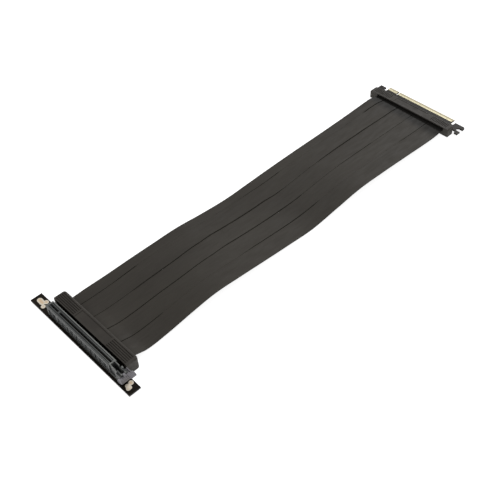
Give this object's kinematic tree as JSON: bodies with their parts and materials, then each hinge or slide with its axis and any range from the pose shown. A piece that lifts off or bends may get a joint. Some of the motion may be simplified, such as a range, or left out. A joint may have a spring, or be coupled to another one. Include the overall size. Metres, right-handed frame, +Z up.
{
  "type": "gpu_riser_cable",
  "caption": "GPU riser cable: long card slot with latch on a black board, flat grey ribbon strips lying in a gentle wave, and a moulded card-edge plug with hook",
  "frame": {"origin": "middle of the two ends' common footprint, on the surface the covers rest on", "axes": "+X from the short row of contacts to the hook and latch, +Y from the slot to the plug, +Z up"},
  "size_m": [0.1396, 0.4524, 0.0141],
  "materials": {
    "board": "black solder mask, low sheen",
    "slot_plastic": "moulded dark grey nylon",
    "latch_plastic": "moulded grey nylon",
    "cover_plastic": "moulded soft black, ribbed",
    "jacket": "matte wrapped cable jacket",
    "gold": "gold plated copper",
    "copper": "bare tinned copper"
  },
  "bodies": {
    "riser": {"slot_board": "board", "plug_board": "board", "left_mount_pad": "gold", "right_mount_pad": "gold", "slot_housing": "slot_plastic", "slot_cover_top": "cover_plastic", "slot_cover_bottom": "cover_plastic", "plug_cover_top": "cover_plastic", "plug_cover_bottom": "cover_plastic", "slot_ground_bar": "copper", "plug_ground_bar": "copper", "ribbon_strip_1": "jacket", "ribbon_strip_2": "jacket", "ribbon_strip_3": "jacket", "ribbon_strip_4": "jacket", "ribbon_strip_5": "jacket", "slot_wire_end_1": "copper", "slot_wire_end_2": "copper", "slot_wire_end_3": "copper", "slot_wire_end_4": "copper", "slot_wire_end_5": "copper", "plug_wire_end_1": "copper", "plug_wire_end_2": "copper", "plug_wire_end_3": "copper", "plug_wire_end_4": "copper", "plug_wire_end_5": "copper"},
    "latch": {"slot_latch": "latch_plastic"}
  },
  "joints": [
    {"name": "latch_hinge", "type": "hinge", "parent": "riser", "child": "latch", "pos_m": [0.05525, -0.22005, 0.0054], "axis": [0, 1, 0], "range_deg": [0, 22]}
  ]
}
